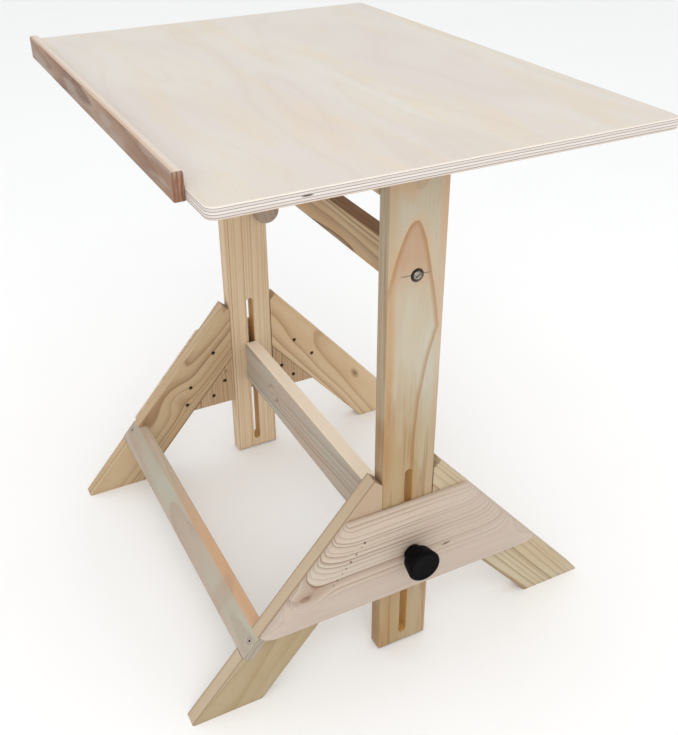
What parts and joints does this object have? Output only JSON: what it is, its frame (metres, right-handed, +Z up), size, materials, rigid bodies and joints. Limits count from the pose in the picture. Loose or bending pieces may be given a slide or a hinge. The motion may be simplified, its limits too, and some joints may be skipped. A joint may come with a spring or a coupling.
{
  "type": "drafting table",
  "caption": "Height-adjustable wooden drafting table: a tilting plywood board with a pencil ledge on slotted posts that slide and clamp in two pine trestles.",
  "frame": {"origin": "on the floor, midway between the two trestles and under the middle of the posts", "axes": "+X along the width of the board to the user's right, +Y from the user to the back, +Z up"},
  "size_m": [0.8, 0.704, 0.849],
  "materials": {
    "plywood": "satin",
    "pine": "matte",
    "beech_dowel": "matte",
    "black_plastic": "matte",
    "nylon": "matte",
    "zinc_steel": "satin",
    "dark_screw": "satin"
  },
  "bodies": {
    "trestles": {"leg_front_left": "pine", "leg_front_right": "pine", "leg_rear_left": "pine", "leg_rear_right": "pine", "guide_block_front_left": "pine", "guide_block_front_right": "pine", "guide_block_rear_left": "pine", "guide_block_rear_right": "pine", "gusset_left": "pine", "gusset_right": "pine", "gusset_screws_left": "dark_screw", "gusset_screws_right": "dark_screw", "middle_rail": "pine", "threaded_inserts": "zinc_steel", "clamp_washers": "zinc_steel", "foot_rail": "pine", "foot_rail_screws": "zinc_steel"},
    "column": {"post_left": "pine", "post_right": "pine", "upper_rail": "pine", "barrel_nuts": "zinc_steel", "rail_bolt": "zinc_steel", "rail_washer": "dark_screw", "tilt_washer": "zinc_steel", "tilt_pivot_bolts": "zinc_steel", "tilt_pivot_washers": "zinc_steel", "tilt_pivot_nuts": "zinc_steel", "pivot_spacer": "nylon", "pivot_plugs": "pine"},
    "top": {"drawing_board": "plywood", "pencil_ledge": "pine", "ledge_dowels": "beech_dowel", "cleat_left": "pine", "cleat_right": "pine", "cleat_screws": "dark_screw", "stay_pivot_bolt": "zinc_steel", "stay_pivot_nut": "zinc_steel"},
    "stay": {"tilt_stay": "pine"},
    "clamp_left": {"clamp_knob_left": "black_plastic", "clamp_bolt_left": "zinc_steel"},
    "clamp_right": {"clamp_knob_right": "black_plastic", "clamp_bolt_right": "zinc_steel"},
    "tilt_lock": {"tilt_knob": "black_plastic", "tilt_bolt": "zinc_steel"}
  },
  "joints": [
    {"name": "height_slide", "type": "slide", "parent": "trestles", "child": "column", "axis": [0, 0, 1], "range_m": [0, 0.18]},
    {"name": "board_tilt", "type": "hinge", "parent": "column", "child": "top", "pos_m": [0, 0, 0.772], "axis": [1, 0, 0], "range_deg": [0, 60]},
    {"name": "stay_swing", "type": "hinge", "parent": "top", "child": "stay", "pos_m": [-0.2716, -0.0417, 0.79], "axis": [1, 0, 0], "range_deg": [-56, 0]},
    {"name": "clamp_knob_left_turn", "type": "hinge", "parent": "trestles", "child": "clamp_left", "pos_m": [-0.34, 0, 0.2055], "axis": [1, 0, 0], "continuous": true},
    {"name": "clamp_knob_right_turn", "type": "hinge", "parent": "trestles", "child": "clamp_right", "pos_m": [0.34, 0, 0.2055], "axis": [1, 0, 0], "continuous": true},
    {"name": "tilt_knob_turn", "type": "hinge", "parent": "column", "child": "tilt_lock", "pos_m": [-0.32, 0, 0.65], "axis": [1, 0, 0], "continuous": true}
  ],
  "couplings": [
    {"joint": "stay_swing", "follows": "board_tilt", "ratio": -0.9}
  ]
}
